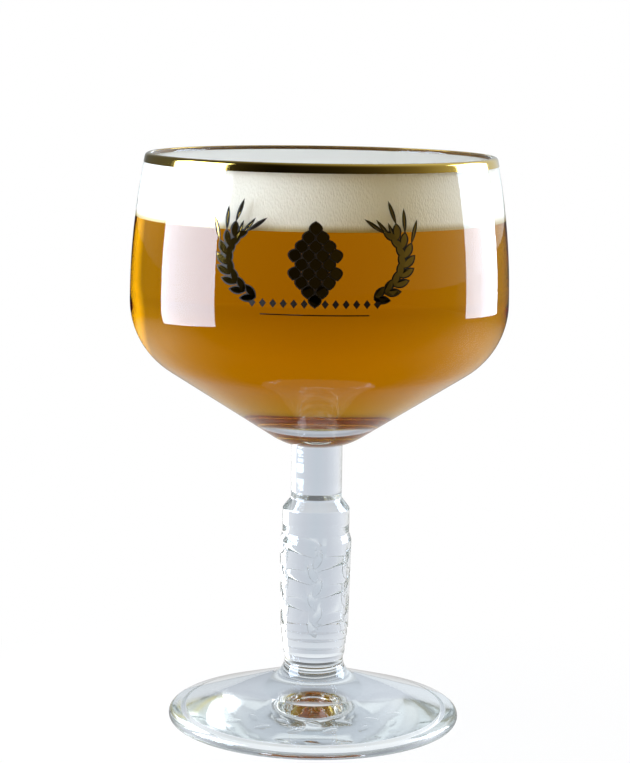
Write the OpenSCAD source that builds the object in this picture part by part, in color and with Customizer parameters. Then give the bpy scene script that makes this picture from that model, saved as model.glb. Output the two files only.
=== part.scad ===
// Stemmed chalice beer glass: a hollow bowl on a pressed stem and foot, with a gilt lip and a
// fill line. The axis of the glass is Z, and the foot's contact ring lies at Z 0.

/* [Bowl] */
// Height of the bowl, from its seat on the stem to the lip
bowl_h = 77.7; // [70:0.1:90]
// Outside diameter just below the lip
rim_d = 93.2; // [86:0.1:98]
// Outside diameter at the widest point
belly_d = 101; // [97:0.1:112]
// Height of the widest point above the seat
belly_up = 38.8; // [35:0.1:45]
// Outside radius of the round hip between the belly and the cone
hip_r = 21.8; // [16:0.1:26]
// Outside radius of the round base of the bowl
base_r = 18.5; // [12:0.1:24]
// Angle above level at which the base leaves the stem
base_lift = 14; // [8:1:22]
// Wall thickness of the bowl
wall = 2; // [1.4:0.1:2.8]
// Thickness of the solid floor on the axis
floor_t = 10.6; // [8:0.1:12]
// Diameter of the shallow dished inside of the floor
dish_d = 34.2; // [28:0.2:38]
// Depth of the dish at its middle, below its edge
dish_h = 3; // [2:0.1:4]

/* [Stem] */
// Height of the stem, from the foot to the bowl
stem_h = 58.9; // [50:0.1:80]
// Diameter of the neck under the bowl
neck_d = 13.7; // [11:0.1:16]
// Height of the neck
neck_h = 14.7; // [10:0.1:20]
// Height of the sloped shoulder under the neck
shoulder_h = 2.8; // [2:0.1:4]
// Diameter of the plain band under the shoulder
band_d = 18.1; // [17.2:0.1:19]
// Height of the plain band
band_h = 6.6; // [4:0.1:9]
// Height of the slope from the band out to the grip
slope_h = 2.2; // [1.4:0.1:4]
// Diameter at the top of the grip
grip_top_d = 19.4; // [18.8:0.1:21]
// Diameter at the lower end of the grip
grip_low_d = 18.4; // [18:0.1:19.4]
// Number of stepped rings below the grip
rings = 3; // [1:1:4]
// Height of one stepped ring
ring_h = 2.3; // [1.5:0.1:3]
// Radius lost at each stepped ring
ring_step = 0.28; // [0.1:0.01:0.4]
// Height of the rounded heel between the lowest ring and the foot
heel_h = 1.6; // [1.2:0.1:3]

/* [Foot] */
// Height of the foot, from the table to its joint with the stem
foot_h = 17.4; // [15:0.1:20]
// Outside diameter of the foot
foot_d = 79; // [70:0.5:90]
// Diameter of the joint between the foot and the stem
joint_d = 15.8; // [14:0.1:16.4]
// Radius of the hollow flare at the foot of the stem
flare_r = 6; // [4:0.1:8]
// Thickness of the foot's rounded edge
edge_t = 3.4; // [2.4:0.1:4.4]
// Width of the flat contact ring
contact_w = 2.6; // [1.5:0.1:5]
// Height of the recess just inside the contact ring
recess_h = 1; // [0.5:0.1:1.6]
// Diameter of the shallow punt under the middle
punt_d = 24; // [18:0.5:30]
// Height of the underside above the table at the edge of the punt
punt_low_h = 1.9; // [1.6:0.1:2.4]
// Rise of the punt above its edge
punt_h = 1.3; // [0.8:0.1:2]

/* [Decoration] */
// Height of the gilding on the outside, below the middle of the lip
gilt_h = 1.3; // [1:0.1:5]
// Thickness of the fired gilding and enamel
gilt_t = 0.12; // [0.08:0.01:0.2]
// How far the gilding turns over the lip, in degrees past its top
gilt_turn = 20; // [10:5:80]
// Height of the fill line above the bowl's seat
line_up = 52.8; // [45:0.1:62]
// Length of the fill line round the wall
line_l = 18; // [8:0.5:30]
// Height of the stroke of the fill line
line_h = 0.7; // [0.4:0.1:1.5]

/* [Quality] */
// Largest gap between a round stretch of outline and its chords
arc_gap = 0.01; // [0.005:0.005:0.04]

/* [Hidden] */
$fn = 120;

// Radii of the outlines
rim_r = rim_d / 2;
belly_r = belly_d / 2;
neck_r = neck_d / 2;
band_r = band_d / 2;
grip_top_r = grip_top_d / 2;
grip_low_r = grip_low_d / 2;
joint_r = joint_d / 2;
foot_r = foot_d / 2;
edge_r = edge_t / 2;
punt_r = punt_d / 2;
lip_r = wall / 2;

// Heights above the table
seat_z = foot_h + stem_h;
belly_z = seat_z + belly_up;
lip_z = seat_z + bowl_h - lip_r;

// The wall above the belly is one arc with its centre level with the belly. Its middle line runs
// from the belly to the centre of the round lip.
lip_rise = lip_z - belly_z;
lip_in = belly_r - rim_r;
side_mid_r = (lip_rise * lip_rise + lip_in * lip_in) / (2 * lip_in);
side_r = side_mid_r + lip_r;
side_c = [belly_r - side_r, belly_z];
side_turn = asin(lip_rise / side_mid_r);
lip_c = side_c + side_mid_r * [cos(side_turn), sin(side_turn)];

// Outside, the hip and the base are two arcs, and the cone is the line that touches both.
hip_c = [belly_r - hip_r, belly_z];
base_c = [neck_r - base_r * sin(base_lift), seat_z + base_r * cos(base_lift)];
cone_turn = outer_tangent(hip_c, hip_r, base_c, base_r);

// Inside, the hip keeps its centre, the dished floor is a cap of a ball, and the cone is the line
// from the edge of the dish that touches the hip.
hip_in_r = hip_r - wall;
dish_edge = [dish_d / 2, seat_z + floor_t + dish_h];
dish_ball_r = ball_radius(dish_d / 2, dish_h);
dish_c = [0, seat_z + floor_t + dish_ball_r];
dish_turn = asin(dish_d / 2 / dish_ball_r);
cone_in_turn = point_tangent(hip_c, hip_in_r, dish_edge);

// The foot's top is a straight slope that touches the hollow flare and the rounded edge.
flare_c = [joint_r + flare_r, foot_h];
edge_c = [foot_r - edge_r, edge_r];
top_turn = inner_tangent(flare_c, flare_r, edge_c, edge_r);

// The punt is a cap of a large ball
punt_ball_r = ball_radius(punt_r, punt_h);
punt_turn = asin(punt_r / punt_ball_r);
punt_c = [0, punt_low_h + punt_h - punt_ball_r];

// Small blends on the stem, each held to the step or height that it rounds
neck_ease = shoulder_h / 2;
shoulder_ease = shoulder_h / 3;
slope_ease = slope_h / 2;
ring_ease = ring_step;
recess_ease = recess_h / 2;

// Overrun for shapes that are trimmed against the bowl
over = wall / 2;

// Points of an arc about c, from angle a to angle b, both ends included
function arc(c, r, a, b) =
    let (
        chord_turn = 2 * acos(1 - min(1, arc_gap / abs(r))),
        steps = max(2, ceil(abs(b - a) / chord_turn))
    )
    [for (i = [0 : steps]) c + r * [cos(a + (b - a) * i / steps), sin(a + (b - a) * i / steps)]];

// Angle of the normal at which one line touches two circles that lie on the same side of it.
// The normal points down and away from the axis.
function outer_tangent(c1, r1, c2, r2) =
    let (d = c2 - c1)
    atan2(d[1], d[0]) + acos((r1 - r2) / norm(d));

// Angle of the normal at which a line through the point p, below and inside the circle, touches it
function point_tangent(c, r, p) =
    let (d = p - c)
    atan2(d[1], d[0]) + acos(r / norm(d));

// Radius of the ball whose cap has the edge radius r and the height h
function ball_radius(r, h) = (r * r + h * h) / (2 * h);

// Angle of the upward normal of the line that touches a circle lying above it and one lying below
function inner_tangent(upper_c, upper_r, lower_c, lower_r) =
    let (d = lower_c - upper_c)
    atan2(d[1], d[0]) + asin((upper_r + lower_r) / norm(d)) + 90;

// Arc that rounds the corner b of the path a, b, c with radius r
function corner(a, b, c, r) =
    let (
        u = (a - b) / norm(a - b),
        v = (c - b) / norm(c - b),
        half = acos(u * v) / 2,
        middle = b + r / sin(half) * (u + v) / norm(u + v),
        p = b + r / tan(half) * u - middle,
        q = b + r / tan(half) * v - middle,
        start = atan2(p[1], p[0]),
        turn = atan2(p[0] * q[1] - p[1] * q[0], p * q)
    )
    arc(middle, r, start, start + turn);

// Path through the points [r, z, blend], with each corner rounded by its blend unless that is 0
function eased(pts) = [
    for (i = [0 : len(pts) - 1])
        let (b = [pts[i][0], pts[i][1]])
        each (i == 0 || i == len(pts) - 1 || pts[i][2] == 0)
            ? [b]
            : corner([pts[i - 1][0], pts[i - 1][1]], b, [pts[i + 1][0], pts[i + 1][1]], pts[i][2])
];

// Half section of the bowl
module bowl_outline() {
    polygon(concat(
        [[0, seat_z]],
        arc(base_c, base_r, base_lift - 90, cone_turn),
        arc(hip_c, hip_r, cone_turn, 0),
        arc(side_c, side_r, 0, side_turn),
        arc(lip_c, lip_r, side_turn, side_turn + 180),
        arc(side_c, side_r - wall, side_turn, 0),
        arc(hip_c, hip_in_r, 0, cone_in_turn),
        arc(dish_c, dish_ball_r, dish_turn - 90, -90)
    ));
}

module bowl() {
    color([0.82, 0.86, 0.89, 0.35])
        rotate_extrude()
            bowl_outline();
}

// Path of the stepped rings, from the grip down to the top of the heel
function ring_path(top_z) = [
    for (i = [0 : rings - 1])
        let (r = grip_low_r - ring_step * i, z = top_z - ring_h * i)
        each [[r, z, ring_ease], [r - ring_step, z - ring_step, ring_ease]]
];

module stem() {
    neck_z = seat_z - neck_h;
    band_z = neck_z - shoulder_h;
    slope_z = band_z - band_h;
    grip_z = slope_z - slope_h;
    rings_z = foot_h + heel_h + ring_h * rings;
    heel_r = grip_low_r - ring_step * rings;
    color([0.82, 0.86, 0.89, 0.35])
        rotate_extrude()
            polygon(concat(
                [[0, foot_h], [0, seat_z]],
                eased(concat(
                    [
                        [neck_r, seat_z, 0],
                        [neck_r, neck_z, neck_ease],
                        [band_r, band_z, shoulder_ease],
                        [band_r, slope_z, slope_ease],
                        [grip_top_r, grip_z, slope_ease]
                    ],
                    ring_path(rings_z),
                    [
                        [heel_r, foot_h + heel_h, min(heel_h, abs(heel_r - joint_r)) / 2],
                        [joint_r, foot_h, 0]
                    ]
                ))
            ));
}

module foot() {
    contact_out_r = foot_r - edge_r;
    contact_in_r = contact_out_r - contact_w;
    color([0.80, 0.85, 0.88, 0.35])
        rotate_extrude()
            polygon(concat(
                [[0, foot_h]],
                arc(flare_c, flare_r, 180, top_turn + 180),
                arc(edge_c, edge_r, top_turn, -90),
                eased([
                    [contact_out_r, 0, 0],
                    [contact_in_r, 0, recess_ease],
                    [contact_in_r - recess_h, recess_h, recess_ease],
                    [punt_r, punt_low_h, 0]
                ]),
                arc(punt_c, punt_ball_r, 90 - punt_turn, 90)
            ));
}

// Skin of the fired decoration's thickness over the outside of the wall and the lip, from the
// height low_z up to the angle turn round the lip. The bowl is cut out of it, so it lies on the
// glass all over.
module skin_outline(low_z, turn) {
    low_turn = asin((low_z - belly_z) / side_r);
    difference() {
        polygon(concat(
            arc(side_c, side_r + gilt_t, low_turn, side_turn),
            arc(lip_c, lip_r + gilt_t, side_turn, turn),
            [lip_c],
            arc(side_c, side_r - over, side_turn, low_turn)
        ));
        bowl_outline();
    }
}

module rim_band() {
    color([0.83, 0.66, 0.25])
        rotate_extrude()
            skin_outline(lip_z - gilt_h, 90 + gilt_turn);
}

module line_outline() {
    line_z = seat_z + line_up;
    low_turn = asin((line_z - line_h / 2 - belly_z) / side_r);
    high_turn = asin((line_z + line_h / 2 - belly_z) / side_r);
    difference() {
        polygon(concat(
            arc(side_c, side_r + gilt_t, low_turn, high_turn),
            arc(side_c, side_r - over, high_turn, low_turn)
        ));
        bowl_outline();
    }
}

module fill_line() {
    line_turn = line_l / belly_r * 180 / PI;
    color([0.16, 0.15, 0.14])
        rotate([0, 0, 90 - line_turn / 2])
            rotate_extrude(angle = line_turn)
                line_outline();
}

bowl();
stem();
foot();
rim_band();
fill_line();
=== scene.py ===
"""Looks of a stemmed chalice beer glass, filled with amber beer under a head of froth.

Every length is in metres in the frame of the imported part: Z is the axis of the glass, the table is
at Z 0 and the decorated front faces -Y.
"""

import logging
import math
from collections.abc import Callable
from dataclasses import dataclass
from enum import Enum

import bpy
from bpy.types import Material, MeshPolygon, Node, NodeSocket, NodeTree, Object
from mathutils import Matrix, Vector


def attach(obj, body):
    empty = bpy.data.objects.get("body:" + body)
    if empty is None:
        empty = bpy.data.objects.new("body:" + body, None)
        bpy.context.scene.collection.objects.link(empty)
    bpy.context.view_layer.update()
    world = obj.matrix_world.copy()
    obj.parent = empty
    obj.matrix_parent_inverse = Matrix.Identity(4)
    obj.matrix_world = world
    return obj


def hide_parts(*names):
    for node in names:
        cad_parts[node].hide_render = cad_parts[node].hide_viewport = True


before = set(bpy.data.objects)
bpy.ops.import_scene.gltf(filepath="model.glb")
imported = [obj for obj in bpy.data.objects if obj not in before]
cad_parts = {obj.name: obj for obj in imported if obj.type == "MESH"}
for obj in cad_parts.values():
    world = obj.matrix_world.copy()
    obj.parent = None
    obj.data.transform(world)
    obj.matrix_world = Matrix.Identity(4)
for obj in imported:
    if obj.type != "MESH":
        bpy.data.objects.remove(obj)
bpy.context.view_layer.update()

LOG = logging.getLogger("chalice")
MM = 0.001

Point = tuple[float, float]
Colour = tuple[float, float, float, float]
# Places and hex colours of a colour ramp
Ramp = tuple[tuple[float, str], ...]
# Start and end of a stretch, and the levels at both, which go on beyond it
Span = tuple[float, float, float, float]

# Points nearer than this are one, and faces nearer than this to a plane lie on it
SAME_POINT = 1e-7
TOUCHING = 1e-6
# Turn between two points of a rounded corner, and of the bowl's flat arcs, in degrees
CORNER_STEP = 9.0
WALL_STEP = 1.0

# Where the bowl stands on the stem, and the stem on the foot
SEAT_Z = 76.3 * MM
NECK_R = 6.85 * MM
JOINT_Z = 17.4 * MM
JOINT_R = 7.9 * MM

WHITE = (1.0, 1.0, 1.0, 1.0)


def linear(hex_code: str) -> Colour:
    """Turns an sRGB hex colour into the linear colour that shaders take.

    Args:
        hex_code: Six hex digits, such as "C8A24A".

    Returns:
        Linear red, green and blue with an alpha of 1.
    """
    parts = [int(hex_code[i:i + 2], 16) / 255 for i in (0, 2, 4)]
    low = [p / 12.92 if p <= 0.04045 else ((p + 0.055) / 1.055) ** 2.4 for p in parts]
    return (low[0], low[1], low[2], 1.0)


# Outlines of round pieces, as points (radius, height) in metres


def arc(centre: Point, radius: float, start: float, end: float, step: float = 4.0) -> list[Point]:
    """Points of a round stretch of outline.

    Args:
        centre: Centre of the arc.
        radius: Radius of the arc.
        start: First angle in degrees, from the outward direction.
        end: Last angle in degrees.
        step: Largest angle between two points, in degrees.

    Returns:
        The points from start to end, both included.
    """
    count = max(2, math.ceil(abs(end - start) / step))
    angles = [math.radians(start + (end - start) * i / count) for i in range(count + 1)]
    return [(centre[0] + radius * math.cos(a), centre[1] + radius * math.sin(a)) for a in angles]


def line(start: Point, end: Point, count: int) -> list[Point]:
    """Points spread evenly along a straight stretch, both ends included."""
    shares = [i / count for i in range(count + 1)]
    return [(start[0] + (end[0] - start[0]) * s, start[1] + (end[1] - start[1]) * s) for s in shares]


def eased(corners: list[tuple[float, float, float]]) -> list[Point]:
    """Rounds the corners of a path.

    Args:
        corners: Points as (radius, height, blend), where blend is the rounding radius or 0.

    Returns:
        The path with an arc in place of each corner that has a blend.
    """
    made: list[Point] = []
    for i, (x, z, blend) in enumerate(corners):
        here = Vector((x, z))
        if i in (0, len(corners) - 1) or blend == 0:
            made.append((x, z))
            continue
        before = (Vector(corners[i - 1][:2]) - here).normalized()
        after = (Vector(corners[i + 1][:2]) - here).normalized()
        half = before.angle(after) / 2
        middle = here + blend / math.sin(half) * (before + after).normalized()
        first = here + blend / math.tan(half) * before - middle
        last = here + blend / math.tan(half) * after - middle
        start = math.degrees(math.atan2(first.y, first.x))
        cross = first.x * last.y - first.y * last.x
        turn = math.degrees(math.atan2(cross, first.dot(last)))
        made += arc((middle.x, middle.y), blend, start, start + turn, CORNER_STEP)
    return made


def tangent_angle(one: Point, one_r: float, two: Point, two_r: float) -> float:
    """Angle, in degrees, of the normal at which one line touches two circles on the same side."""
    away = Vector(two) - Vector(one)
    return math.degrees(math.atan2(away.y, away.x) + math.acos((one_r - two_r) / away.length))


def touching_angle(centre: Point, radius: float, point: Point) -> float:
    """Angle, in degrees, of the normal at which a line through a point touches a circle."""
    away = Vector(point) - Vector(centre)
    return math.degrees(math.atan2(away.y, away.x) + math.acos(radius / away.length))


def crossing_angle(upper: Point, upper_r: float, lower: Point, lower_r: float) -> float:
    """Slant of the line that passes under one circle and over another.

    Args:
        upper: Centre of the circle above the line.
        upper_r: Its radius.
        lower: Centre of the circle below the line.
        lower_r: Its radius.

    Returns:
        Angle of the line's upward normal, in degrees.
    """
    away = Vector(lower) - Vector(upper)
    lean = math.asin((upper_r + lower_r) / away.length)
    return math.degrees(math.atan2(away.y, away.x) + lean) + 90


def without_repeats(points: list[Point]) -> list[Point]:
    """Leaves out points that repeat the one before.

    Args:
        points: The outline.

    Returns:
        The points that are left.
    """
    kept = points[:1]
    for p in points[1:]:
        if math.dist(p, kept[-1]) > SAME_POINT:
            kept.append(p)
    return kept


# Edit-mode work


def deselect_all() -> None:
    """Clears the selection, so that an operator acts on the new piece alone."""
    if bpy.context.object and bpy.context.object.mode != "OBJECT":
        bpy.ops.object.mode_set(mode="OBJECT")
    bpy.ops.object.select_all(action="DESELECT")


def drawn_path(name: str, points: list[Point]) -> Object:
    """Draws a path in the XZ plane by extruding a point.

    Args:
        name: Name of the piece.
        points: The path as points (x, z).

    Returns:
        The piece, in edit mode with all of it selected.
    """
    deselect_all()
    bpy.ops.mesh.primitive_plane_add(size=MM, location=(0, 0, 0))
    piece = bpy.context.object
    piece.name = piece.data.name = name
    bpy.ops.object.mode_set(mode="EDIT")
    bpy.ops.mesh.select_all(action="SELECT")
    bpy.ops.mesh.merge(type="CENTER")
    bpy.ops.transform.translate(value=(points[0][0], 0, points[0][1]))
    for (x0, z0), (x1, z1) in zip(points, points[1:]):
        bpy.ops.mesh.extrude_region_move(TRANSFORM_OT_translate={"value": (x1 - x0, 0, z1 - z0)})
    bpy.ops.mesh.select_all(action="SELECT")
    return piece


def lathe(name: str, outline: list[Point], steps: int, sharp: float = 40.0) -> Object:
    """Spins an outline round the axis of the glass into a closed body.

    Args:
        name: Name of the piece.
        outline: Closed half section, or one that starts and ends on the axis.
        steps: Number of steps round the axis.
        sharp: Edges that turn by more than this many degrees stay sharp.

    Returns:
        The piece, with outward faces and smooth shading.
    """
    piece = drawn_path(name, without_repeats(outline))
    bpy.ops.mesh.spin(steps=steps, angle=math.tau, center=(0, 0, 0), axis=(0, 0, 1))
    bpy.ops.mesh.select_all(action="SELECT")
    bpy.ops.mesh.remove_doubles(threshold=TOUCHING)
    bpy.ops.mesh.normals_make_consistent(inside=False)
    bpy.ops.object.mode_set(mode="OBJECT")
    bpy.ops.object.shade_smooth_by_angle(angle=math.radians(sharp))
    return piece


def outward(face: MeshPolygon) -> float:
    """How far a face looks away from the axis of the glass, from -1 to 1."""
    across = face.normal.x * face.center.x + face.normal.y * face.center.y
    return across / math.hypot(face.center.x, face.center.y)


def dress(piece: Object, first: Material, second: Material,
          picked: Callable[[MeshPolygon], bool]) -> None:
    """Gives a piece two materials.

    Args:
        piece: The piece.
        first: Its main material.
        second: The material of the picked faces.
        picked: Says whether a face is picked.
    """
    piece.data.materials.append(first)
    piece.data.materials.append(second)
    for face in piece.data.polygons:
        face.material_index = int(picked(face))


def finish_piece(piece: Object, slot: str, *nodes: str) -> None:
    """Puts a finished piece on the glass's body, hides the solids that it replaces and logs its faces.

    Args:
        piece: The piece, its place already in its mesh.
        slot: Not used.
        nodes: The solids that the piece replaces, if any.
    """
    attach(piece, "root")
    if nodes:
        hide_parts(*nodes)
    LOG.info("%s: %d faces", piece.name, len(piece.data.polygons))


# Materials


def add(tree: NodeTree, kind: str, links: dict[str, NodeSocket] | None = None,
        **settings: object) -> Node:
    """Adds a shader node with its settings and incoming links.

    Args:
        tree: The tree that gets the node.
        kind: The node's type name, without the ShaderNode in front of it.
        links: Input name or number to the socket that feeds it.
        settings: Node properties, the stops of its colour ramp, the span of its range, or inputs
            written as in_ and the input's number or its name with underscores.

    Returns:
        The new node.
    """
    node = tree.nodes.new("ShaderNode" + kind)
    for key, value in settings.items():
        if key == "stops":
            ramp = node.color_ramp.elements
            for place, colour in value[1:-1]:
                ramp.new(place).color = linear(colour)
            for end in (0, -1):
                ramp[end].position, ramp[end].color = value[end][0], linear(value[end][1])
        elif key == "span":
            for name, level in zip(("From Min", "From Max", "To Min", "To Max"), value):
                node.inputs[name].default_value = level
        elif key.startswith("in_"):
            name = key[3:].replace("_", " ")
            node.inputs[int(name) if name.isdigit() else name].default_value = value
        else:
            setattr(node, key, value)
    for name, socket in (links or {}).items():
        tree.links.new(socket, node.inputs[int(name) if name.isdigit() else name])
    return node


def new_material(name: str) -> tuple[Material, NodeTree]:
    """Makes a node material without nodes.

    Args:
        name: Name of the material.

    Returns:
        The material and its tree.
    """
    material = bpy.data.materials.new(name)
    material.use_nodes = True
    material.node_tree.nodes.clear()
    return material, material.node_tree


def by_ray(tree: NodeTree, surface: Node,
           **others: Node) -> NodeSocket:
    """Shows other surfaces to some kinds of ray.

    Args:
        tree: The tree that gets the nodes.
        surface: What all other rays meet.
        others: Kind of ray, such as Camera, to what it meets. A later one goes before an earlier.

    Returns:
        The whole surface.
    """
    path = add(tree, "LightPath")
    whole = surface.outputs[0]
    for ray, other in others.items():
        mix = add(tree, "MixShader", {
            "0": path.outputs[f"Is {ray} Ray"], "1": whole, "2": other.outputs[0]})
        whole = mix.outputs[0]
    return whole


def plain_material(name: str, **settings: object) -> Material:
    """Makes a material of one colour and gloss.

    Args:
        name: Name of the material.
        settings: Inputs of the surface, as add takes them.

    Returns:
        The material.
    """
    made, tree = new_material(name)
    surface = add(tree, "BsdfPrincipled", **settings)
    add(tree, "OutputMaterial", {"Surface": surface.outputs[0]})
    return made


@dataclass(frozen=True)
class ClearGlass:
    """Soda-lime glass, fire-polished: colourless, with a cool cast where it is thick.

    Pressed glass shows soft ripples that lie level, where it cooled against the mould.
    """

    ior: float = 1.52
    roughness: float = 0.0
    tint: str = "FCFDFD"
    ripple: float = 0.0
    ripple_h: float = 2.2 * MM
    ripple_w: float = 12.0 * MM

    def rippled(self, tree: NodeTree) -> NodeSocket:
        """Adds the ripples.

        Args:
            tree: The tree that gets the nodes.

        Returns:
            The direction in which the rippled surface faces.
        """
        place = add(tree, "TexCoord")
        sized = add(tree, "Mapping", {"Vector": place.outputs["Object"]},
                    in_Scale=(1 / self.ripple_w, 1 / self.ripple_w, 1 / self.ripple_h))
        waves = add(tree, "TexNoise", {"Vector": sized.outputs[0]}, in_Scale=1.0,
                    in_Detail=1.0)
        bump = add(tree, "Bump", {"Height": waves.outputs[0]}, in_Strength=1.0,
                   in_Distance=self.ripple)
        return bump.outputs[0]

    def material(self, name: str) -> Material:
        """Builds the glass. Lamps shine through it, so that what it holds is lit.

        Args:
            name: Name of the material.

        Returns:
            The material.
        """
        made, tree = new_material(name)
        links = {"Normal": self.rippled(tree)} if self.ripple > 0 else {}
        glass = add(tree, "BsdfGlass", links, in_Color=linear(self.tint),
                    in_IOR=self.ior, in_Roughness=self.roughness)
        clear = add(tree, "BsdfTransparent", in_Color=linear(self.tint))
        add(tree, "OutputMaterial", {"Surface": by_ray(tree, glass, Shadow=clear)})
        return made


@dataclass(frozen=True)
class FusedJoint:
    """The seam inside glass that was fused while hot, which the eye doesn't see."""

    def material(self) -> Material:
        """Builds a surface that leaves light as it is.

        Returns:
            The material.
        """
        made, tree = new_material("fused_glass_seam")
        clear = add(tree, "BsdfTransparent")
        add(tree, "OutputMaterial", {"Surface": clear.outputs[0]})
        return made


@dataclass(frozen=True)
class FiredGold:
    """Bright gold, brushed on as lustre and fired: a warm mirror that is a little soft."""

    colour: str = "D9B75C"
    roughness: float = 0.08

    def material(self) -> Material:
        """Builds the gold."""
        return plain_material("fired_bright_gold", in_Base_Color=linear(self.colour),
                              in_Metallic=1.0, in_Roughness=self.roughness)


@dataclass(frozen=True)
class GoldBack:
    """The underside of fired gold, seen through the glass: a dull brown without a mirror."""

    colour: str = "6B4E22"
    roughness: float = 0.45
    gloss: float = 0.2

    def material(self) -> Material:
        """Builds the underside."""
        return plain_material("fired_gold_from_behind", in_Base_Color=linear(self.colour),
                              in_Roughness=self.roughness, in_Specular_IOR_Level=self.gloss)


@dataclass(frozen=True)
class DarkEnamel:
    """Fired enamel in near black, as used for a capacity line: even, with hardly a shine."""

    colour: str = "1E1812"
    roughness: float = 0.5
    gloss: float = 0.3

    def material(self) -> Material:
        """Builds the enamel."""
        return plain_material("dark_fired_enamel", in_Base_Color=linear(self.colour),
                              in_Roughness=self.roughness, in_Specular_IOR_Level=self.gloss)


@dataclass(frozen=True)
class AmberBeer:
    """Filtered amber beer: it takes blue within millimetres and leaves deep gold in the middle.

    What it takes of red, green and blue is given per metre of depth.
    """

    ior: float = 1.34
    take: tuple[float, float, float] = (3.0, 15.2, 95.0)

    def material(self, name: str, against: float) -> Material:
        """Builds the drink's surface and body.

        Args:
            name: Name of the material.
            against: Refractive index of what the surface lies against, 1 for air.

        Returns:
            The material.
        """
        made, tree = new_material(name)
        surface = add(tree, "BsdfGlass", in_IOR=self.ior / against, in_Roughness=0.0)
        clear = add(tree, "BsdfTransparent")
        density = max(self.take)
        passed = tuple(1 - t / density for t in self.take)
        body = add(tree, "VolumeAbsorption", in_Color=(*passed, 1.0), in_Density=density)
        add(tree, "OutputMaterial", {
            "Surface": by_ray(tree, surface, Shadow=clear), "Volume": body.outputs[0]})
        return made


@dataclass(frozen=True)
class BeerFroth:
    """Wet froth of fine bubbles: matt cream-white with a faint grain, straw where it drains."""

    colour: str = "F7F4EA"
    wet: str = "B9A468"
    wet_from: float = 137.3 * MM
    wet_to: float = 139.4 * MM
    bubble: float = 0.42 * MM
    flatten: float = 0.45
    grain: float = 0.3
    roughness: float = 0.6

    def material(self) -> Material:
        """Builds the froth.

        Returns:
            The material.
        """
        made, tree = new_material("fine_beer_froth")
        place = add(tree, "TexCoord")
        tall = add(tree, "Mapping", {"Vector": place.outputs["Object"]},
                   in_Scale=(1.0, 1.0, self.flatten))
        cells = add(tree, "TexVoronoi", {"Vector": tall.outputs[0]},
                    in_Scale=1 / self.bubble)
        bump = add(tree, "Bump", {"Height": cells.outputs["Distance"]},
                   in_Strength=self.grain, in_Distance=self.bubble)
        parts = add(tree, "SeparateXYZ", {"Vector": place.outputs["Object"]})
        drained = add(tree, "MapRange", {"Value": parts.outputs["Z"]},
                      interpolation_type="SMOOTHSTEP", in_From_Min=self.wet_from,
                      in_From_Max=self.wet_to)
        colour = add(tree, "Mix", {"0": drained.outputs[0]}, data_type="RGBA",
                     in_6=linear(self.wet), in_7=linear(self.colour))
        froth = add(tree, "BsdfPrincipled", {
            "Base Color": colour.outputs[2], "Normal": bump.outputs[0]},
            in_Roughness=self.roughness)
        add(tree, "OutputMaterial", {"Surface": froth.outputs[0]})
        return made


# Pieces


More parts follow.
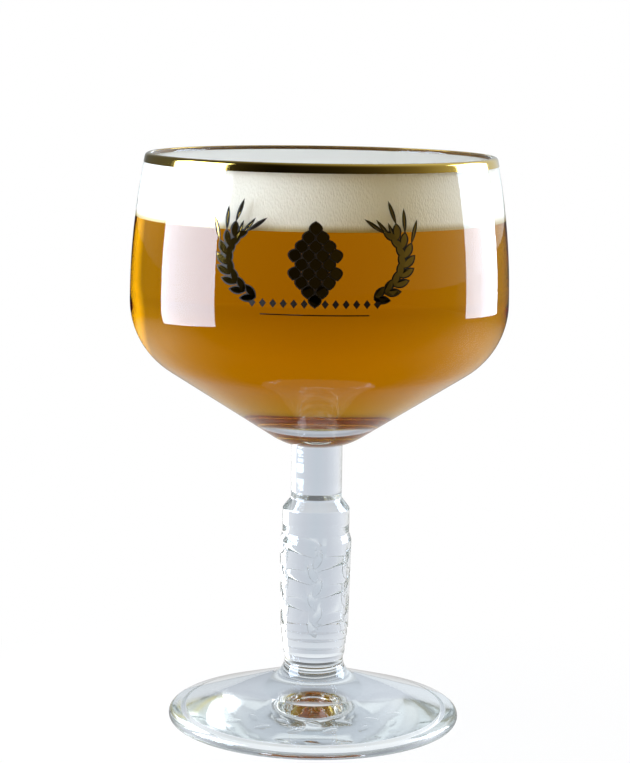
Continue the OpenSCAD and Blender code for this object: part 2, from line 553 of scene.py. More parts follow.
@dataclass
class BowlShape:
    """Sizes of the bowl, outside and inside, and the outlines that follow from them."""

    height: float = 77.7 * MM
    rim_r: float = 46.6 * MM
    belly_r: float = 50.5 * MM
    belly_up: float = 38.8 * MM
    hip_r: float = 21.8 * MM
    base_r: float = 18.5 * MM
    base_lift: float = 14.0
    wall: float = 2.0 * MM
    floor_t: float = 10.6 * MM
    dish_edge_r: float = 17.1 * MM
    dish_h: float = 3.0 * MM
    cone_steps: int = 12
    dish_step: float = 1.5

    def __post_init__(self) -> None:
        """Works out the centres and angles of the outline's arcs."""
        self.belly_z = SEAT_Z + self.belly_up
        self.lip_r = self.wall / 2
        self.lip_z = SEAT_Z + self.height - self.lip_r
        rise = self.lip_z - self.belly_z
        lean = self.belly_r - self.rim_r
        middle_r = (rise ** 2 + lean ** 2) / (2 * lean)
        self.side_r = middle_r + self.lip_r
        self.side_c = (self.belly_r - self.side_r, self.belly_z)
        turn = math.asin(rise / middle_r)
        self.side_turn = math.degrees(turn)
        self.lip_c = (self.side_c[0] + middle_r * math.cos(turn), self.lip_z)
        self.hip_c = (self.belly_r - self.hip_r, self.belly_z)
        lift = math.radians(self.base_lift)
        self.base_c = (NECK_R - self.base_r * math.sin(lift),
                       SEAT_Z + self.base_r * math.cos(lift))
        self.cone_turn = tangent_angle(self.hip_c, self.hip_r, self.base_c, self.base_r)
        self.hip_in_r = self.hip_r - self.wall
        self.dish_ball_r = (self.dish_edge_r ** 2 + self.dish_h ** 2) / (2 * self.dish_h)
        self.dish_c = (0.0, SEAT_Z + self.floor_t + self.dish_ball_r)
        self.dish_turn = math.degrees(math.asin(self.dish_edge_r / self.dish_ball_r))
        edge = (self.dish_edge_r, SEAT_Z + self.floor_t + self.dish_h)
        self.cone_in_turn = touching_angle(self.hip_c, self.hip_in_r, edge)

    def side_angle(self, z: float, radius: float) -> float:
        """Angle on the wall's arc of the given radius at the height z."""
        return math.degrees(math.asin((z - self.belly_z) / radius))

    def outside(self, top_angle: float) -> list[Point]:
        """Outside of the bowl.

        Args:
            top_angle: Angle on the wall's arc at which it ends.

        Returns:
            The points from the neck up.
        """
        base = arc(self.base_c, self.base_r, self.base_lift - 90, self.cone_turn)
        hip = arc(self.hip_c, self.hip_r, self.cone_turn, 0)
        return (base + line(base[-1], hip[0], self.cone_steps)[1:] + hip[1:]
                + arc(self.side_c, self.side_r, 0, top_angle, WALL_STEP)[1:])

    def inside(self, low: float, high: float, into_wall: float = 0.0) -> list[Point]:
        """Inside of the bowl.

        Args:
            low: Height at which the stretch starts if it is above the belly. Any other starts it
                in the middle of the floor.
            high: Height at which it ends, above the belly.
            into_wall: How far the stretch lies outside the true inner face.

        Returns:
            The points from the start up to high.
        """
        side_r = self.side_r - self.wall + into_wall
        dish = arc(self.dish_c, self.dish_ball_r + into_wall, -90, self.dish_turn - 90,
                   self.dish_step)
        hip = arc(self.hip_c, self.hip_in_r + into_wall, self.cone_in_turn, 0)
        side = arc(self.side_c, side_r, self.side_angle(max(low, self.belly_z), side_r),
                   self.side_angle(high, side_r), WALL_STEP)
        if low >= self.belly_z:
            return side
        return dish + line(dish[-1], hip[0], self.cone_steps)[1:] + hip[1:] + side[1:]


@dataclass
class Bowl:
    """The blown bowl, with its lip, wall and solid floor."""

    shape: BowlShape
    wet_to: float
    lip_step: float = 10.0
    floor_lean: float = 0.3
    steps: int = 192

    def unseen(self, face: MeshPolygon) -> bool:
        """Whether a face lies on the stem or under the drink.

        Args:
            face: A face of the bowl.

        Returns:
            True where the glass meets other glass or the drink.
        """
        on_seat = face.center.z < SEAT_Z + TOUCHING
        on_floor = face.normal.z > self.floor_lean and face.center.z < self.shape.belly_z
        return on_seat or (face.center.z < self.wet_to and (outward(face) < 0 or on_floor))

    def build(self, glass: Material, seam: Material) -> Object:
        """Spins the bowl.

        Args:
            glass: The glass.
            seam: The surface of its seat and of the wall under the drink, which shows nothing.

        Returns:
            The piece.
        """
        s = self.shape
        wet_wall = s.inside(0.0, self.wet_to)
        side_in_r = s.side_r - s.wall
        dry_wall = arc(s.side_c, side_in_r, s.side_angle(self.wet_to, side_in_r), s.side_turn,
                       WALL_STEP)
        outline = ([(0.0, SEAT_Z)] + s.outside(s.side_turn)
                   + arc(s.lip_c, s.lip_r, s.side_turn, s.side_turn + 180, self.lip_step)[1:]
                   + dry_wall[::-1][1:] + wet_wall[::-1][1:])
        piece = lathe("bowl_glass", outline, self.steps)
        dress(piece, glass, seam, self.unseen)
        finish_piece(piece, "clear_glass", "bowl")
        return piece


@dataclass
class Stem:
    """The pressed stem: neck, shoulder, band, grip and stepped rings."""

    neck_h: float = 14.7 * MM
    shoulder_h: float = 2.8 * MM
    band_r: float = 9.05 * MM
    band_h: float = 6.6 * MM
    slope_h: float = 2.2 * MM
    grip_top_r: float = 9.7 * MM
    grip_low_r: float = 9.2 * MM
    rings: int = 3
    ring_h: float = 2.3 * MM
    ring_step: float = 0.28 * MM
    heel_h: float = 1.6 * MM
    steps: int = 128

    def outline(self) -> list[Point]:
        """Half section of the stem.

        Returns:
            The points from its top down to the foot.
        """
        neck_z = SEAT_Z - self.neck_h
        band_z = neck_z - self.shoulder_h
        slope_z = band_z - self.band_h
        grip_z = slope_z - self.slope_h
        ring_z = JOINT_Z + self.heel_h + self.ring_h * self.rings
        heel_r = self.grip_low_r - self.ring_step * self.rings
        corners = [
            (NECK_R, SEAT_Z, 0.0),
            (NECK_R, neck_z, self.shoulder_h / 2),
            (self.band_r, band_z, self.shoulder_h / 3),
            (self.band_r, slope_z, self.slope_h / 2),
            (self.grip_top_r, grip_z, self.slope_h / 2),
        ]
        for i in range(self.rings):
            r, z = self.grip_low_r - self.ring_step * i, ring_z - self.ring_h * i
            corners.append((r, z, self.ring_step))
            corners.append((r - self.ring_step, z - self.ring_step, self.ring_step))
        corners.append((heel_r, JOINT_Z + self.heel_h, (heel_r - JOINT_R) / 2))
        corners.append((JOINT_R, JOINT_Z, 0.0))
        return [(0.0, SEAT_Z)] + eased(corners) + [(0.0, JOINT_Z)]

    def build(self, glass: Material, seam: Material) -> Object:
        """Spins the stem and presses grains on its grip.

        Args:
            glass: The pressed glass.
            seam: The surface of its two ends.

        Returns:
            The piece.
        """
        piece = lathe("stem_glass", self.outline(), self.steps)
        dress(piece, glass, seam,
              lambda f: min(abs(f.center.z - SEAT_Z), abs(f.center.z - JOINT_Z)) < TOUCHING)
        relief = Relief()
        relief.press(piece, relief.on_grip(self.grip_low_r, self.grip_top_r))
        finish_piece(piece, "clear_glass", "stem")
        return piece


@dataclass
class Foot:
    """The pressed foot, with its flare, rounded edge, contact ring, recess and shallow dish."""

    radius: float = 39.5 * MM
    flare_r: float = 6.0 * MM
    edge_r: float = 1.7 * MM
    contact_w: float = 2.6 * MM
    recess_h: float = 1.0 * MM
    dish_z: float = 1.9 * MM
    dish_r: float = 12.0 * MM
    dish_h: float = 1.3 * MM
    face_steps: int = 24
    edge_step: float = 6.0
    dish_step: float = 0.5
    steps: int = 192

    def __post_init__(self) -> None:
        """Works out the flare, the edge and the slope of the face between them."""
        self.flare_c = (JOINT_R + self.flare_r, JOINT_Z)
        self.edge_c = (self.radius - self.edge_r, self.edge_r)
        self.top_turn = crossing_angle(self.flare_c, self.flare_r, self.edge_c, self.edge_r)

    def face_at(self, radius: float) -> tuple[float, float]:
        """The sloped face at a distance from the axis.

        Args:
            radius: The distance.

        Returns:
            The face's height there, and its slope in degrees.
        """
        slope = 90 - self.top_turn
        a = math.radians(self.top_turn)
        x = self.edge_c[0] + self.edge_r * math.cos(a)
        z = self.edge_c[1] + self.edge_r * math.sin(a)
        return z + (x - radius) * math.tan(math.radians(slope)), slope

    def outline(self) -> list[Point]:
        """Half section of the foot.

        Returns:
            The points from its top round to the dish under its middle.
        """
        flare = arc(self.flare_c, self.flare_r, 180, self.top_turn + 180)
        edge = arc(self.edge_c, self.edge_r, self.top_turn, -90, self.edge_step)
        out_r = self.radius - self.edge_r
        in_r = out_r - self.contact_w
        under = eased([
            (out_r, 0.0, 0.0),
            (in_r, 0.0, self.recess_h / 2),
            (in_r - self.recess_h, self.recess_h, self.recess_h / 2),
            (self.dish_r, self.dish_z, 0.0),
        ])
        ball_r = (self.dish_r ** 2 + self.dish_h ** 2) / (2 * self.dish_h)
        mouth = math.degrees(math.asin(self.dish_r / ball_r))
        dish = arc((0.0, self.dish_z + self.dish_h - ball_r), ball_r, 90 - mouth, 90,
                   self.dish_step)
        return ([(0.0, JOINT_Z)] + flare + line(flare[-1], edge[0], self.face_steps)[1:]
                + edge[1:] + under[1:] + dish[1:])

    def build(self, glass: Material, seam: Material) -> Object:
        """Spins the foot and presses a spray of grains on its front.

        Args:
            glass: The pressed glass.
            seam: The surface on which the stem stands.

        Returns:
            The piece.
        """
        piece = lathe("foot_glass", self.outline(), self.steps)
        dress(piece, glass, seam, lambda f: abs(f.center.z - JOINT_Z) < TOUCHING)
        relief = Relief()
        relief.press(piece, relief.on_foot(*self.face_at(relief.spray_r)))
        finish_piece(piece, "clear_glass", "foot")
        return piece


@dataclass
class Gilding:
    """The gold over the lip and a little way down the outside."""

    shape: BowlShape
    skin: float = 0.12 * MM
    height: float = 1.3 * MM
    turn: float = 20.0
    sunk: float = 0.03 * MM
    lip_step: float = 8.0
    steps: int = 192

    def on_glass(self, face: MeshPolygon) -> bool:
        """Whether a face lies on the glass.

        Args:
            face: A face of the gilding.

        Returns:
            True where it looks towards the middle of the arc that it follows.
        """
        middle_r, middle_z = self.shape.side_c
        if face.center.z > self.shape.lip_z:
            middle_r, middle_z = self.shape.lip_c
        r = math.hypot(face.center.x, face.center.y)
        return outward(face) * (r - middle_r) + face.normal.z * (face.center.z - middle_z) < 0

    def build(self, gold: Material, back_of_gold: Material) -> Object:
        """Spins the gilding, a skin that follows the wall and turns over the lip.

        Args:
            gold: The bright face.
            back_of_gold: The face that lies on the glass.

        Returns:
            The piece.
        """
        s = self.shape
        low = s.side_angle(s.lip_z - self.height, s.side_r)
        turn = 90 + self.turn
        out = (arc(s.side_c, s.side_r + self.skin, low, s.side_turn, WALL_STEP)
               + arc(s.lip_c, s.lip_r + self.skin, s.side_turn, turn, self.lip_step)[1:])
        back = (arc(s.lip_c, s.lip_r - self.sunk, turn, s.side_turn, self.lip_step)
                + arc(s.side_c, s.side_r - self.sunk, s.side_turn, low, WALL_STEP)[1:])
        piece = lathe("rim_gilding", out + back + out[:1], self.steps)
        dress(piece, gold, back_of_gold, self.on_glass)
        finish_piece(piece, "gilding", "rim_band")
        return piece


@dataclass
class Drink:
    """The beer and its head of froth."""

    shape: BowlShape
    top_z: float = 137.5 * MM
    froth_z: float = 153.1 * MM
    into_wall: float = 0.15 * MM
    froth_sunk: float = 0.2 * MM
    crown_h: float = 0.3 * MM
    top_steps: int = 8
    crown_steps: int = 20
    steps: int = 160

    def build_beer(self, at_glass: Material,
                   at_air: Material) -> Object:
        """Spins the drink. It reaches a little into the wall, so no air shows between them.

        Args:
            at_glass: Its surface where it lies against the glass.
            at_air: Its surface under the froth.

        Returns:
            The piece.
        """
        wall = self.shape.inside(0.0, self.top_z, self.into_wall)
        outline = wall + line(wall[-1], (0.0, self.top_z), self.top_steps)[1:]
        piece = lathe("beer", outline, self.steps)
        dress(piece, at_glass, at_air, lambda f: abs(f.center.z - self.top_z) < TOUCHING)
        finish_piece(piece, "beer")
        return piece

    def build_froth(self, froth: Material) -> Object:
        """Spins the froth, which stands on the drink and domes a little in the middle.

        Args:
            froth: The froth's material.

        Returns:
            The piece.
        """
        low = self.top_z - self.froth_sunk
        wall = self.shape.inside(low, self.froth_z, self.into_wall)
        edge_r, edge_z = wall[-1]
        shares = [i / self.crown_steps for i in range(1, self.crown_steps + 1)]
        crown = [(edge_r * (1 - t), edge_z + self.crown_h * math.sin(math.pi / 2 * t))
                 for t in shares]
        piece = lathe("froth", [(0.0, low)] + wall + crown, self.steps)
        piece.data.materials.append(froth)
        finish_piece(piece, "froth")
        return piece


# Ornament, printed on the front, and relief, pressed into the glass


def sheet(name: str, outline: list[Point]) -> Object:
    """Draws a flat sheet in the XZ plane.

    Args:
        name: Name of the sheet.
        outline: Its outline as points (x, z), without the first repeated.

    Returns:
        The sheet, made of one face.
    """
    made = drawn_path(name, outline)
    bpy.ops.mesh.edge_face_add()
    bpy.ops.object.mode_set(mode="OBJECT")
    return made


def copied(piece: Object, place: Matrix) -> Object:
    """Copies a piece, with a mesh of its own.

    Args:
        piece: The piece.
        place: How the copy is moved and turned, which goes into its mesh.

    Returns:
        The copy.
    """
    twin = piece.copy()
    twin.data = piece.data.copy()
    twin.data.transform(place)
    bpy.context.scene.collection.objects.link(twin)
    return twin


def joined(name: str, parts: list[Object]) -> Object:
    """Joins parts into one piece.

    Args:
        name: Name of the piece.
        parts: The parts, of which the first takes up the others.

    Returns:
        The piece.
    """
    deselect_all()
    for part in parts:
        part.select_set(True)
    bpy.context.view_layer.objects.active = parts[0]
    bpy.ops.object.join()
    parts[0].name = parts[0].data.name = name
    return parts[0]


def use_modifier(piece: Object, kind: str, **settings: object) -> None:
    """Adds a modifier to a piece and applies it.

    Args:
        piece: The piece.
        kind: The modifier's type name.
        settings: The modifier's properties.
    """
    deselect_all()
    piece.select_set(True)
    bpy.context.view_layer.objects.active = piece
    modifier = piece.modifiers.new(kind.lower(), kind)
    for key, value in settings.items():
        setattr(modifier, key, value)
    bpy.ops.object.modifier_apply(modifier=modifier.name)


@dataclass
class Ornament:
    """A hop cone between two ears of barley, over a row of lozenges and a thin rule.

    It is printed in gold on a dark ground that shows as a thin edge round every shape. The ears
    follow the left and the right side of two ovals.
    """

    middle: Point = (-1.2 * MM, 129.5 * MM)
    start_y: float = -70 * MM
    ink: float = 0.05 * MM
    edge: float = 0.38 * MM
    ground_lift: float = 0.03 * MM
    gold_lift: float = 0.10 * MM
    leaf_steps: int = 6
    leaf_bulge: float = 0.8
    scale_size: Point = (2.79 * MM, 3.036 * MM)
    scale_pitch: float = 3.162 * MM
    scale_lean: float = 0.1632
    cone_rows: tuple[int, ...] = (1, 2, 3, 4, 3, 4, 3, 2, 1)
    cone_top: float = 10.4 * MM
    cone_step: float = 2.2 * MM
    grain_size: Point = (1.52 * MM, 3.74 * MM)
    grain_fork: float = 0.5
    grains: int = 8
    awned: int = 3
    awn_size: Point = (0.3 * MM, 5.5 * MM)
    awn_up: float = 3.96 * MM
    awn_fork: float = 0.3
    ear_middle: Point = (8.2 * MM, 1.0 * MM)
    ear_half: Point = (13.94 * MM, 10.54 * MM)
    ear_from: float = -62.0
    ear_turn: float = 92.0
    lozenges: int = 13
    lozenge_h: float = 2.3 * MM
    lozenge_slim: float = 1.3
    lozenge_pitch: float = 2.576 * MM
    lozenge_z: float = -9.6 * MM
    rule_l: float = 27.0 * MM
    rule_h: float = 0.3 * MM
    rule_z: float = -12.2 * MM
    rule_steps: int = 24

    def leaf(self, name: str, size: Point, grow: float) -> Object:
        """Draws a pointed oval with its base at the origin and its tip up.

        Args:
            name: Name of the sheet.
            size: Width at the middle, and length from base to tip.
            grow: How much it grows on every side.

        Returns:
            The sheet.
        """
        half, tall = size[0] / 2 + grow, size[1] + 2 * grow
        shares = [i / self.leaf_steps for i in range(self.leaf_steps + 1)]
        right = [(half * math.sin(math.pi * t) ** self.leaf_bulge, tall * t - grow)
                 for t in shares]
        left = [(-x, z) for x, z in right[1:-1]][::-1]
        return sheet(name, right + left)

    def cone(self) -> list[Matrix]:
        """Lays out the hop cone.

        Returns:
            Places of its scales, row by row from the top.
        """
        places: list[Matrix] = []
        for row, count in enumerate(self.cone_rows):
            for i in range(count):
                aside = i - (count - 1) / 2
                spot = (aside * self.scale_pitch, 0, self.cone_top - row * self.cone_step)
                facing = Matrix.Rotation(math.pi - aside * self.scale_lean, 4, "Y")
                places.append(Matrix.Translation(spot) @ facing)
        return places

    def ears(self) -> tuple[list[Matrix], list[Matrix]]:
        """Lays out both ears.

        Returns:
            Places of their grains, and of the awns on the upper grains.
        """
        grains: list[Matrix] = []
        awns: list[Matrix] = []
        wide, high = self.ear_half
        for side in (-1, 1):
            for i in range(self.grains):
                turn = math.radians(self.ear_from + self.ear_turn * i / (self.grains - 1))
                spot = Vector((side * (self.ear_middle[0] + wide * math.cos(turn)), 0,
                               self.ear_middle[1] + high * math.sin(turn)))
                along = math.atan2(side * -math.sin(turn) * wide, math.cos(turn) * high)
                for fork in (-1, 1):
                    facing = Matrix.Rotation(along + fork * self.grain_fork, 4, "Y")
                    grains.append(Matrix.Translation(spot) @ facing)
                    if i >= self.grains - self.awned:
                        tip = spot + facing @ Vector((0, 0, self.awn_up))
                        lean = Matrix.Rotation(along + fork * self.awn_fork, 4, "Y")
                        awns.append(Matrix.Translation(tip) @ lean)
        return grains, awns

    def lay(self, name: str, grow: float, lift: float, bowl: Object,
            ink: Material, slot: str, rows: bool) -> Object:
        """Draws every shape, wraps the drawing on the bowl and gives it the ink's thickness.

        Args:
            name: Name of the piece.
            grow: How much each shape grows on every side.
            lift: Height of the middle of the ink above the glass.
            bowl: The bowl that carries it.
            ink: The ink.
            slot: The record's material slot.
            rows: Whether the lozenges and the rule are drawn too.

        Returns:
            The piece.
        """
        grains, awns = self.ears()
        drawn: list[Object] = []
        for size, places in ((self.scale_size, self.cone()), (self.grain_size, grains),
                             (self.awn_size, awns)):
            model = self.leaf(name, size, grow)
            drawn += [copied(model, place) for place in places]
            bpy.data.objects.remove(model)
        if rows:
            drawn += self.border()
        piece = joined(name, drawn)
        start = (self.middle[0], self.start_y, self.middle[1])
        piece.data.transform(Matrix.Translation(start))
        use_modifier(piece, "SHRINKWRAP", target=bowl, wrap_method="PROJECT", use_project_y=True,
                     use_positive_direction=True, use_negative_direction=False, offset=lift)
        use_modifier(piece, "SOLIDIFY", thickness=self.ink, offset=0.0)
        bpy.ops.object.mode_set(mode="EDIT")
        bpy.ops.mesh.select_all(action="SELECT")
        bpy.ops.mesh.normals_make_consistent(inside=False)
        bpy.ops.object.mode_set(mode="OBJECT")
        piece.data.materials.clear()
        piece.data.materials.append(ink)
        finish_piece(piece, slot)
        return piece

    def border(self) -> list[Object]:
        """Draws the row of lozenges and the rule under it.

        Returns:
            The sheets.
        """
        made: list[Object] = []
        wide, high = self.lozenge_h / self.lozenge_slim / 2, self.lozenge_h / 2
        model = sheet("lozenge", [(0, -high), (wide, 0), (0, high), (-wide, 0)])
        for i in range(self.lozenges):
            aside = (i - (self.lozenges - 1) / 2) * self.lozenge_pitch
            made.append(copied(model, Matrix.Translation((aside, 0, self.lozenge_z))))
        bpy.data.objects.remove(model)
        half = self.rule_l / 2
        top = line((-half, self.rule_z), (half, self.rule_z), self.rule_steps)
        made.append(sheet("rule", top + [(x, z - self.rule_h) for x, z in top[::-1]]))
        return made

    def build(self, bowl: Object, gold: Material,
              dark: Material) -> None:
        """Prints the dark ground first and the gold over it.

        Args:
            bowl: The bowl that carries the print.
            gold: The gold.
            dark: The ground.
        """
        self.lay("ornament_ground", self.edge, self.ground_lift, bowl, dark, "enamel", True)
        self.lay("ornament_gold", 0.0, self.gold_lift, bowl, gold, "gilding", False)


@dataclass
class Relief:
    """Grains pressed into the glass: upright ears round the grip and a spray on the foot's front."""

    length: float = 4.8 * MM
    width: float = 2.2 * MM
    proud: float = 0.075 * MM
    pinch: float = 0.35
    around: int = 16
    along: int = 12
    sharp: float = 50.0
    ears: int = 6
    per_ear: int = 6
    ear_low: float = 27.0 * MM
    ear_high: float = 46.0 * MM
    ear_aside: float = 0.66 * MM
    spray_r: float = 29.5 * MM
    spray_grains: int = 13
    spray_pitch: float = 8.4
    spray_aside: float = 1.6 * MM
    fork: float = 24.0

    def grain(self, name: str) -> Object:
        """Shapes a grain that lies along Z and stands proud towards X, its back in the glass.

        Args:
            name: Name of the grain.

        Returns:
            The grain, slimmer towards both of its ends.
        """
        deselect_all()
        bpy.ops.mesh.primitive_uv_sphere_add(segments=self.around, ring_count=self.along,
                                             radius=1.0)
        made = bpy.context.object
        made.name = made.data.name = name
        bpy.ops.object.mode_set(mode="EDIT")
        bpy.ops.transform.resize(value=(self.proud * 2, self.width / 2, self.length / 2))
        bpy.ops.object.mode_set(mode="OBJECT")
        for corner in made.data.vertices:
            corner.co.y *= 1 - (abs(corner.co.z) / (self.length / 2)) ** 2 * self.pinch
        return made

    def press(self, piece: Object, places: list[Matrix]) -> None:
        """Joins a grain to the piece at every place, as one body of glass.

        Args:
            piece: The stem or the foot.
            places: Where the grains go.
        """
        model = self.grain("grain")
        grains = joined("grains", [copied(model, place) for place in places])
        bpy.data.objects.remove(model)
        grains.data.materials.append(piece.data.materials[0])
        use_modifier(piece, "BOOLEAN", operation="UNION", object=grains, solver="EXACT")
        bpy.data.objects.remove(grains)
        bpy.ops.object.shade_smooth_by_angle(angle=math.radians(self.sharp))

    def on_grip(self, low_r: float, high_r: float) -> list[Matrix]:
        """Lays out the grains on the grip.

        Args:
            low_r: Radius of the grip at the lowest grain.
            high_r: Radius of the grip at the highest grain.

        Returns:
            Places in upright ears, whose grains lean left and right by turns.
        """
        places: list[Matrix] = []
        for ear in range(self.ears):
            turn = Matrix.Rotation(math.tau * (ear + 0.5) / self.ears, 4, "Z")
            for i in range(self.per_ear):
                share = i / (self.per_ear - 1)
                r = low_r + (high_r - low_r) * share - self.proud
                z = self.ear_low + (self.ear_high - self.ear_low) * share
                side = 1 if i % 2 else -1
                spot = Matrix.Translation((r, side * self.ear_aside, z))
                lean = Matrix.Rotation(math.radians(-self.fork * side), 4, "X")
                places.append(turn @ spot @ lean)
        return places

    def on_foot(self, height: float, slope: float) -> list[Matrix]:
        """Lays out the grains on the foot.

        Args:
            height: Height of the foot's face on the circle of the spray.
            slope: How steeply the face falls outwards, in degrees.

        Returns:
            Places in a spray, whose grains point in and out by turns.
        """
        places: list[Matrix] = []
        tilt = Matrix.Rotation(math.radians(slope - 90), 4, "Y")
        for i in range(self.spray_grains):
            aside = (i - (self.spray_grains - 1) / 2) * self.spray_pitch
            turn = Matrix.Rotation(math.radians(aside - 90), 4, "Z")
            side = 1 if i % 2 else -1
            fork = Matrix.Rotation(math.radians(90 + self.fork * side), 4, "X")
            out = self.spray_r + self.spray_aside * side
            fall = math.tan(math.radians(slope)) * (out - self.spray_r)
            spot = Matrix.Translation((out, 0, height - fall - self.proud))
            places.append(turn @ spot @ tilt @ fork)
        return places


# Studio


class Seen(Enum):
    """Which light a soft box gives: the one that gloss mirrors, or the one that lights matt things."""

    MIRRORED = "mirrored"
    LIT = "lit"


@dataclass(frozen=True)
class SoftBox:
    """An upright soft box beside the glass.

    The azimuth is its direction from the glass, in degrees from the camera and positive to its
    right. The radiance is the brightness of its face, where 1 is white.
    """

    name: str
    seen: Seen
    azimuth: float
    away: float
    width: float
    low: float
    high: float
    radiance: float
    colour: str

    def stand(self) -> None:
        """Adds the lamp, which no camera sees and no glass passes on."""
        data = bpy.data.lights.new(self.name, "AREA")
        data.shape = "RECTANGLE"
        data.size, data.size_y = self.width, self.high - self.low
        data.energy = self.radiance * math.pi * data.size * data.size_y
        data.color = linear(self.colour)[:3]
        lamp = bpy.data.objects.new(self.name, data)
        bpy.context.scene.collection.objects.link(lamp)
        a = math.radians(self.azimuth)
        spot = Vector((math.sin(a), -math.cos(a), 0)) * self.away
        turn = (-spot).to_track_quat("-Z", "Y").to_matrix().to_4x4()
        spot.z = (self.low + self.high) / 2
        lamp.matrix_world = Matrix.Translation(spot) @ turn
        lamp.visible_camera = False
        lamp.visible_transmission = False
        lamp.visible_glossy = self.seen is Seen.MIRRORED
        lamp.visible_diffuse = self.seen is Seen.LIT


@dataclass
class Studio:
    """The table, the soft boxes, the backdrop and the camera.

    Colours of sides go by how far a direction is to the left or right, those of depth by how far
    it is to the back, from 0 for the camera's side to 1, and those of rise by its height. Spans
    of the table go by metres from the glass, or by how flat it is seen: 0 from straight above and
    1 along it.
    """

    lens: float = 108.93
    distance: float = 613.2 * MM
    height: float = 185.8 * MM
    tilt: float = 8.59
    roll: float = 0.879
    aside: float = -0.83 * MM
    nearest: float = 10 * MM
    sides: Ramp = ((0.0, "CCD4DE"), (0.25, "D2D7E1"), (0.45, "DDE2EB"), (0.72, "F0F3FA"),
                   (0.97, "FFFFFF"))
    depth_low: Ramp = ((0.0, "76746A"), (0.25, "7A7870"), (0.5, "8E8E88"), (0.6, "FFFFFF"))
    depth_high: Ramp = ((0.0, "B09A3C"), (0.25, "A89440"), (0.5, "98906A"), (0.6, "FFFFFF"))
    rise: Ramp = ((0.0, "DADADA"), (0.05, "E6E6E6"), (0.15, "FAFAFA"), (0.3, "FFFFFF"),
                  (0.5, "F4F4F4"), (0.8, "B8B8B8"))
    mirrored: Ramp = ((0.0, "24211A"), (0.12, "3C382B"), (0.3, "6E6954"), (0.5, "A3A49B"),
                      (0.7, "CBD4DC"))
    to_high: Span = (0.15, 0.4, 0.0, 1.0)
    lamp_side: Span = (0.68, 0.78, 1.0, 3.4)
    mirrored_side: Span = (-0.4, 0.4, 0.2, 1.3)
    table_size: float = 6.0
    table_drop: float = 0.1 * MM
    table_matt: Colour = (0.7, 0.7, 0.7, 1.0)
    table_near: str = "D6DADE"
    # Colour of the painted sheen, a glow on the table that only gloss sees
    sheen_colour: Colour = (1.0, 0.97, 0.95, 1.0)
    shadow: Span = (0.04, 0.12, 0.1, 0.0)
    far: Span = (0.05, 0.12, 0.0, 1.0)
    # Painted light: the glow that glass passes on is brighter near the glass
    level: Span = (0.5, 0.8, 1.42, 1.1)
    # Painted shade for the drink's shadow: that glow is dimmer where the table is seen from steeply
    # above
    flat: Span = (0.2, 0.5, 0.2, 1.0)
    behind: Span = (-0.1, 0.05, 0.0, 1.0)
    grazed: Span = (0.13, 0.5, 0.0, 0.65)
    far_sheen: Span = (-0.2, 0.2, 0.01, 0.15)
    fade: Span = (0.25, 0.6, 1.0, 1.0)
    boxes: tuple[SoftBox, ...] = (
        SoftBox("left_mirrored_box", Seen.MIRRORED, azimuth=-82.5, away=400 * MM, width=313 * MM,
                low=2 * MM, high=440 * MM, radiance=14.2, colour="D6E8FF"),
        SoftBox("right_mirrored_box", Seen.MIRRORED, azimuth=112.5, away=600 * MM, width=392 * MM,
                low=30 * MM, high=520 * MM, radiance=10.3, colour="D6E8FF"),
        SoftBox("left_soft_box", Seen.LIT, azimuth=-80.0, away=400 * MM, width=313 * MM,
                low=25 * MM, high=360 * MM, radiance=18.6, colour="E4ECFA"),
        SoftBox("right_soft_box", Seen.LIT, azimuth=114.0, away=600 * MM, width=392 * MM,
                low=30 * MM, high=430 * MM, radiance=10.6, colour="E4ECFA"),
        SoftBox("front_bounce", Seen.LIT, azimuth=8.0, away=1200 * MM, width=1000 * MM,
                low=20 * MM, high=720 * MM, radiance=1.2, colour="FFCE28"),
    )

    def build(self) -> None:
        """Sets up the whole studio."""
        self.table()
        self.backdrop()
        for box in self.boxes:
            box.stand()
        self.camera()

    def camera(self) -> None:
        """Places the camera where the photograph was taken from."""
        data = bpy.data.cameras.new("camera")
        data.lens = self.lens
        data.clip_start = self.nearest
        cam = bpy.data.objects.new("camera", data)
        bpy.context.scene.collection.objects.link(cam)
        look = Matrix.Rotation(math.radians(90 - self.tilt), 4, "X")
        spin = Matrix.Rotation(math.radians(self.roll), 4, "Z")
        place = Matrix.Translation((self.aside, -self.distance, self.height))
        cam.matrix_world = place @ look @ spin
        bpy.context.scene.camera = cam

    def room_through_glass(self, tree: NodeTree,
                           way: NodeSocket) -> NodeSocket:
        """Colour of the room in a direction, as glass passes it on.

        Args:
            tree: The tree that gets the nodes.
            way: The direction, of length 1.

        Returns:
            Pale grey behind the glass, white at its sides with a lamp on the right, and dim in
            front of it, where it is straw-coloured higher up.
        """
        parts = add(tree, "SeparateXYZ", {"Vector": way})
        side = add(tree, "Math", {"0": parts.outputs["X"]}, operation="ABSOLUTE")
        sides = add(tree, "ValToRGB", {"Fac": side.outputs[0]}, stops=self.sides)
        back = add(tree, "MapRange", {"Value": parts.outputs["Y"]}, in_From_Min=-1.0)
        low = add(tree, "ValToRGB", {"Fac": back.outputs[0]}, stops=self.depth_low)
        high = add(tree, "ValToRGB", {"Fac": back.outputs[0]}, stops=self.depth_high)
        share = add(tree, "MapRange", {"Value": parts.outputs["Z"]}, span=self.to_high)
        depth = add(tree, "Mix", {
            "0": share.outputs[0], "6": low.outputs[0], "7": high.outputs[0]}, data_type="RGBA")
        rise = add(tree, "ValToRGB", {"Fac": parts.outputs["Z"]}, stops=self.rise)
        both = add(tree, "VectorMath", {
            "0": sides.outputs[0], "1": depth.outputs[2]}, operation="MULTIPLY")
        all_three = add(tree, "VectorMath", {
            "0": both.outputs[0], "1": rise.outputs[0]}, operation="MULTIPLY")
        lamp = add(tree, "MapRange", {"Value": parts.outputs["X"]}, span=self.lamp_side)
        bright = add(tree, "VectorMath", {
            "0": all_three.outputs[0], "Scale": lamp.outputs[0]}, operation="SCALE")
        return bright.outputs[0]

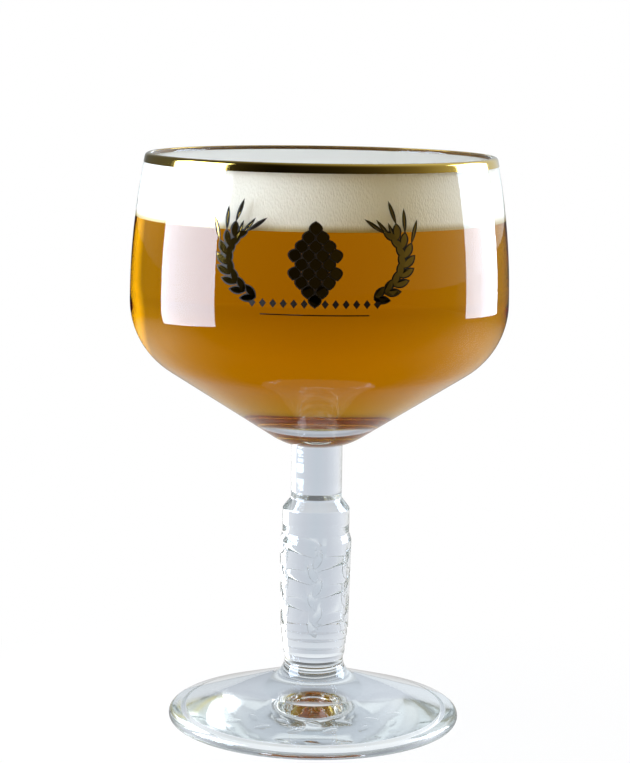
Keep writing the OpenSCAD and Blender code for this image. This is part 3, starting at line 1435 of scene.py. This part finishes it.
    def table_material(self) -> Material:
        """Builds the table's surface.

        To the camera it is white, with a faint shadow round the foot. Glass passes on a glow that is
        painted light in place of the lit table: pale near the foot and the room's colours farther off,
        brighter near the glass, and less of both where the table is seen from steeply above, which is
        painted shade for the drink's shadow. Gloss mirrors a painted sheen behind the glass, which
        fades farther off and fades less on the right.

        Returns:
            The material.
        """
        made, tree = new_material("white_acrylic_sweep")
        place = add(tree, "TexCoord").outputs["Object"]
        away = add(tree, "VectorMath", {"0": place}, operation="LENGTH").outputs["Value"]
        slant = add(tree, "LayerWeight", in_Blend=0.5).outputs["Facing"]
        matt = add(tree, "BsdfDiffuse", in_Color=self.table_matt)
        white = add(tree, "Emission", in_Color=WHITE, in_Strength=1.0)
        near = add(tree, "MapRange", {"Value": away}, span=self.shadow)
        shown = add(tree, "MixShader", {
            "0": near.outputs[0], "1": white.outputs[0], "2": matt.outputs[0]})

        way = add(tree, "VectorMath", {"0": place}, operation="NORMALIZE")
        far = add(tree, "MapRange", {"Value": away}, span=self.far)
        colour = add(tree, "Mix", {
            "0": far.outputs[0], "7": self.room_through_glass(tree, way.outputs[0])},
            data_type="RGBA", in_6=linear(self.table_near))
        # Painted light: the glow is brighter near the glass
        level = add(tree, "MapRange", {"Value": away}, span=self.level)
        # Painted shade for the drink's shadow: darker where the table is seen from steeply above
        flat = add(tree, "MapRange", {"Value": slant}, span=self.flat)
        strong = add(tree, "Math", {"0": level.outputs[0], "1": flat.outputs[0]},
                     operation="MULTIPLY")
        passed = add(tree, "Emission", {
            "Color": colour.outputs[2], "Strength": strong.outputs[0]})

        parts = add(tree, "SeparateXYZ", {"Vector": place})
        behind = add(tree, "MapRange", {"Value": parts.outputs["Y"]}, span=self.behind)
        grazed = add(tree, "MapRange", {"Value": slant}, span=self.grazed)
        least = add(tree, "MapRange", {"Value": parts.outputs["X"]}, span=self.far_sheen)
        fade = add(tree, "MapRange", {"Value": away, "To Max": least.outputs[0]},
                   span=self.fade)
        both = add(tree, "Math", {"0": behind.outputs[0], "1": grazed.outputs[0]},
                   operation="MULTIPLY")
        gleam = add(tree, "Math", {"0": both.outputs[0], "1": fade.outputs[0]},
                    operation="MULTIPLY")
        # Painted sheen: a glow that gloss sees, in place of the table's own reflection
        sheen = add(tree, "Emission", {"Strength": gleam.outputs[0]},
                    in_Color=self.sheen_colour)

        whole = by_ray(tree, matt, Glossy=sheen, Transmission=passed, Camera=shown)
        add(tree, "OutputMaterial", {"Surface": whole})
        return made

    def table(self) -> None:
        """Lays the table just under the foot."""
        deselect_all()
        bpy.ops.mesh.primitive_plane_add(size=self.table_size, location=(0, 0, 0))
        bpy.ops.object.mode_set(mode="EDIT")
        bpy.ops.transform.translate(value=(0, 0, -self.table_drop))
        bpy.ops.object.mode_set(mode="OBJECT")
        floor = bpy.context.object
        floor.name = "table"
        floor.data.materials.append(self.table_material())

    def backdrop(self) -> None:
        """Fills the world: white to the camera, dim in front to gloss, and the room to glass."""
        world = bpy.data.worlds.new("studio")
        bpy.context.scene.world = world
        world.use_nodes = True
        tree = world.node_tree
        tree.nodes.clear()
        way = add(tree, "TexCoord")
        parts = add(tree, "SeparateXYZ", {"Vector": way.outputs["Generated"]})
        back = add(tree, "MapRange", {"Value": parts.outputs["Y"]}, in_From_Min=-1.0)
        colour = add(tree, "ValToRGB", {"Fac": back.outputs[0]}, stops=self.mirrored)
        strength = add(tree, "MapRange", {"Value": parts.outputs["X"]},
                       span=self.mirrored_side)
        room = add(tree, "Background", {
            "Color": colour.outputs[0], "Strength": strength.outputs[0]})
        passed = add(tree, "Background", {
            "Color": self.room_through_glass(tree, way.outputs["Generated"])}, in_Strength=1.0)
        white = add(tree, "Background", in_Color=WHITE, in_Strength=1.0)
        whole = by_ray(tree, room, Transmission=passed, Camera=white)
        add(tree, "OutputWorld", {"Surface": whole})


def set_up_render() -> None:
    """Sets the view transform and lets light cross the many layers of glass and drink."""
    scene = bpy.context.scene
    scene.view_settings.view_transform = "Standard"
    scene.cycles.max_bounces = 24
    scene.cycles.transmission_bounces = 20
    scene.cycles.transparent_max_bounces = 24
    scene.cycles.glossy_bounces = 20
    scene.cycles.diffuse_bounces = 4


def main() -> None:
    """Builds the glass, its drink and the studio in order."""
    logging.basicConfig(level=logging.INFO, format="%(name)s: %(message)s")
    set_up_render()
    blown = ClearGlass()
    glass, seam = blown.material("fire_polished_soda_lime_glass"), FusedJoint().material()
    pressed = ClearGlass(roughness=0.03, ripple=0.04 * MM).material("pressed_soda_lime_glass")
    shape = BowlShape()
    drink = Drink(shape)
    bowl = Bowl(shape, drink.top_z).build(glass, seam)
    Stem().build(pressed, seam)
    Foot().build(pressed, seam)
    gold, dark = FiredGold().material(), DarkEnamel().material()
    Gilding(shape).build(gold, GoldBack().material())
    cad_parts["fill_line"].data.materials.clear()
    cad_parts["fill_line"].data.materials.append(dark)
    Ornament().build(bowl, gold, dark)
    beer = AmberBeer()
    drink.build_beer(beer.material("amber_beer", blown.ior), beer.material("beer_top", 1.0))
    drink.build_froth(BeerFroth().material())
    Studio().build()


if __name__ == "__main__":
    main()
